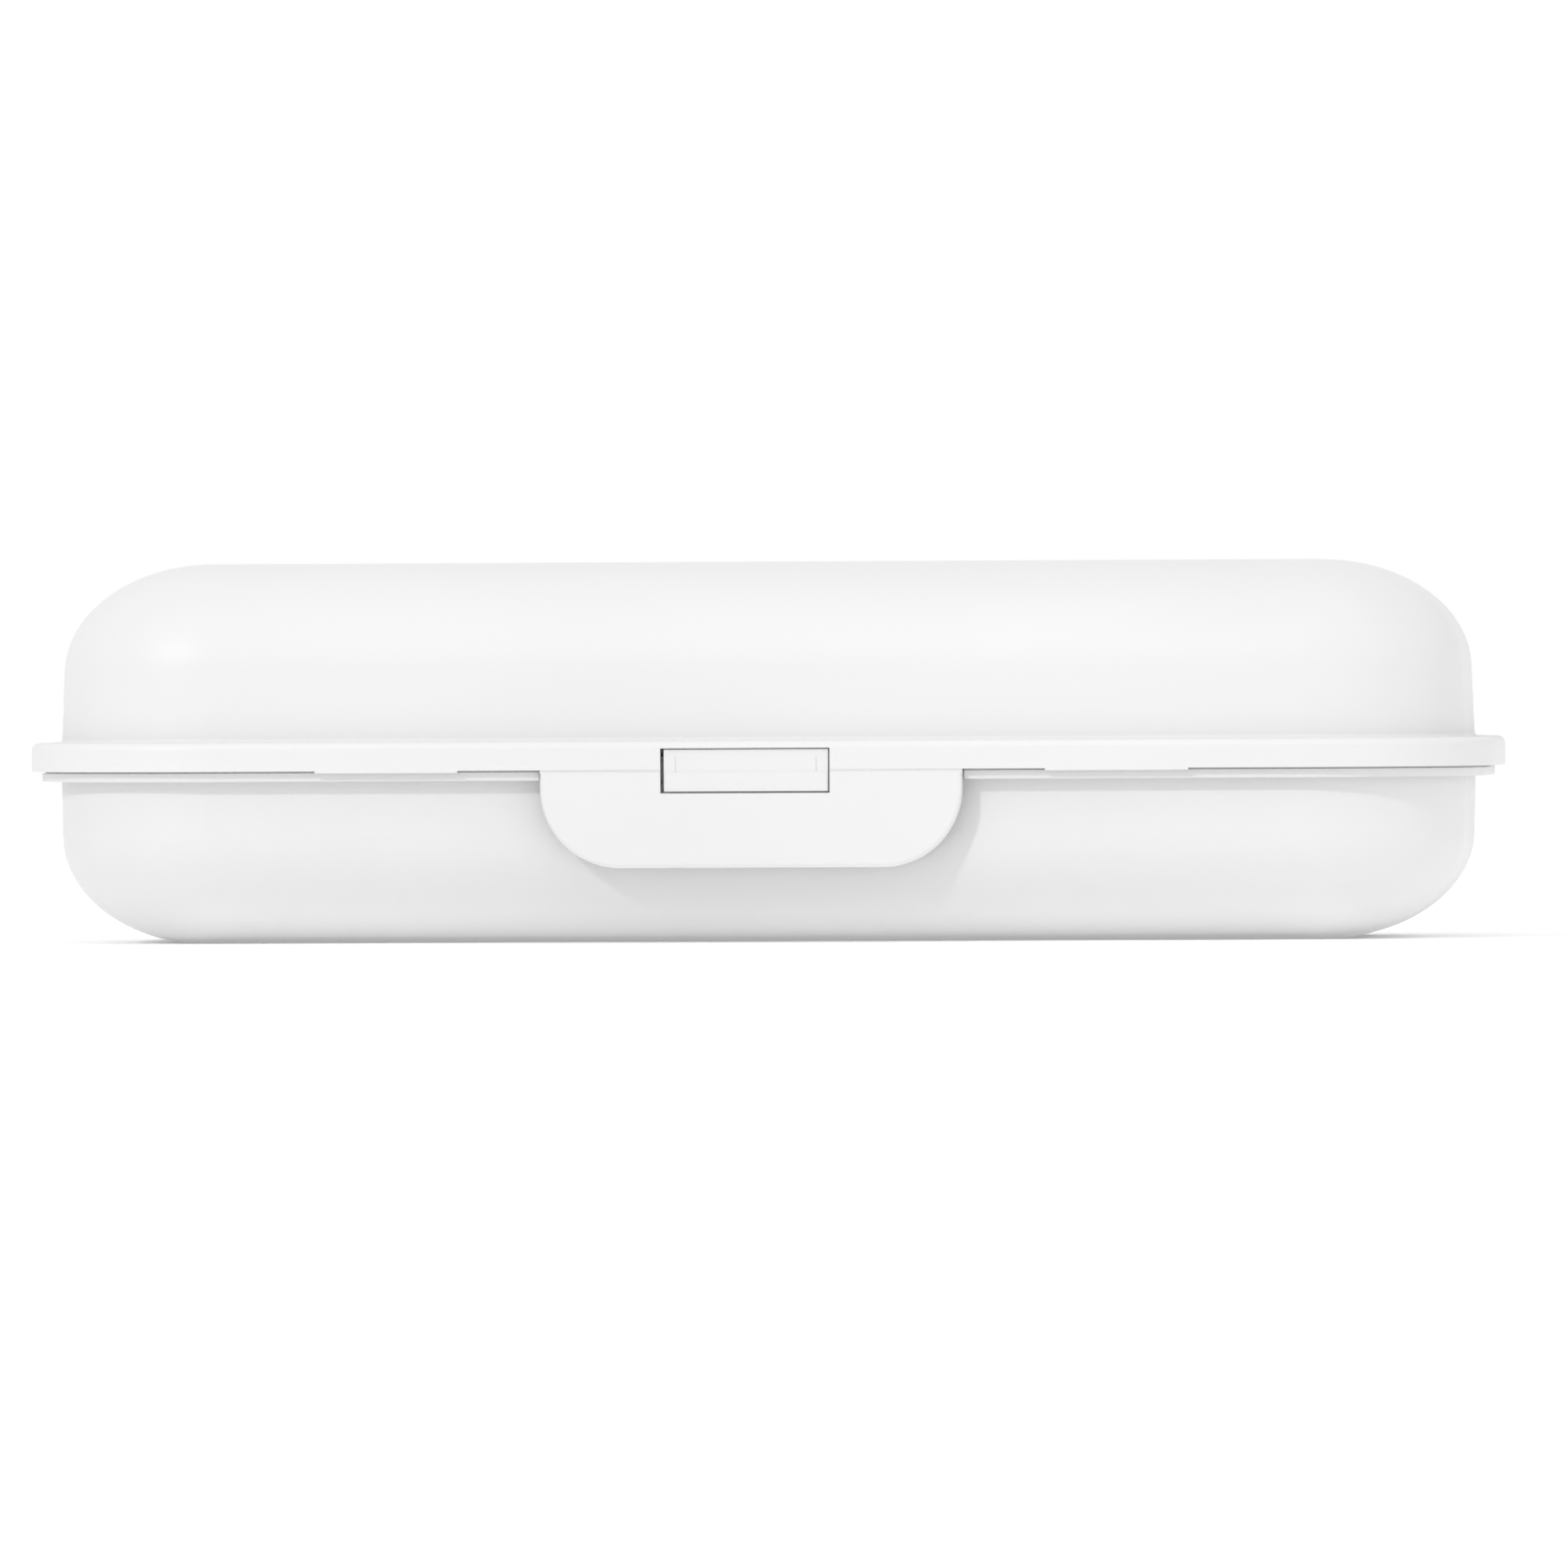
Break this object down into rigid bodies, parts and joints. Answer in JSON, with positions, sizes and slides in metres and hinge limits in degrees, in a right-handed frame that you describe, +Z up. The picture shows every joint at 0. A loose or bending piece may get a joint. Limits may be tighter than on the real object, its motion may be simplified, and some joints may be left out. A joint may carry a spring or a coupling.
{
  "type": "toothbrush sanitizer",
  "caption": "White clamshell box with a rear-hinged lid, overhanging rim and front pull tab, holding a toothbrush handle and heads under UV lamps.",
  "frame": {"origin": "middle of the flat face that the box rests on", "axes": "+X along the box, -Y towards the pull tab, +Y towards the hinges, +Z up"},
  "size_m": [0.222, 0.0996, 0.0573],
  "materials": {
    "shell_white": "satin",
    "tray_grey": "satin",
    "panel_white": "gloss",
    "silicone_grey": "matte",
    "seal_grey": "matte",
    "pin_steel": "brushed",
    "screw_steel": "brushed",
    "socket_steel": "satin",
    "tongue_black": "satin",
    "reflector_aluminium": "polished",
    "window_clear": "clear",
    "lamp_ceramic": "satin",
    "board_white": "satin",
    "board_green": "satin",
    "chip_black": "matte",
    "cell_wrap": "satin",
    "foam_black": "matte",
    "ribbon_amber": "satin",
    "magnet_nickel": "polished",
    "button_white": "satin",
    "light_ring": "frosted"
  },
  "bodies": {
    "base": {"base_shell": "shell_white", "hinge_pin_left": "pin_steel", "hinge_pin_right": "pin_steel", "rim_gasket": "seal_grey", "latch_catch": "shell_white", "base_tray": "tray_grey", "handle_rest_left": "silicone_grey", "handle_rest_right": "silicone_grey", "head_rest_left": "silicone_grey", "head_rest_right": "silicone_grey", "sensor_magnet": "magnet_nickel"},
    "lid": {"lid_shell": "shell_white", "lamp_panel": "panel_white", "panel_screws": "screw_steel", "lamp_window": "window_clear", "lamp_reflector": "reflector_aluminium", "lamp_board": "board_white", "lamp_board_screws": "screw_steel", "uv_lamps": "lamp_ceramic", "battery_cell": "cell_wrap", "battery_pad": "foam_black", "battery_ribbon": "ribbon_amber", "control_board": "board_green", "control_chips": "chip_black", "lid_sensor": "chip_black", "lamp_ribbon": "ribbon_amber", "charge_socket": "socket_steel", "socket_tongue": "tongue_black", "socket_gasket": "seal_grey", "status_light_ring": "light_ring", "button_switch": "chip_black"},
    "tab": {"latch_tab": "shell_white"},
    "button": {"power_button": "button_white", "switch_plunger": "tongue_black"}
  },
  "joints": [
    {"name": "lid_hinge", "type": "hinge", "parent": "base", "child": "lid", "pos_m": [0, 0.0504, 0.0254], "axis": [-1, 0, 0], "range_deg": [0, 105]},
    {"name": "tab_flex", "type": "hinge", "parent": "lid", "child": "tab", "pos_m": [0, -0.04615, 0.02595], "axis": [-1, 0, 0], "range_deg": [0, 35], "stiffness_Nm_per_rad": 0.02},
    {"name": "button_press", "type": "slide", "parent": "lid", "child": "button", "axis": [0, 0, -1], "range_m": [0, 0.0006], "stiffness_N_per_m": 400}
  ]
}
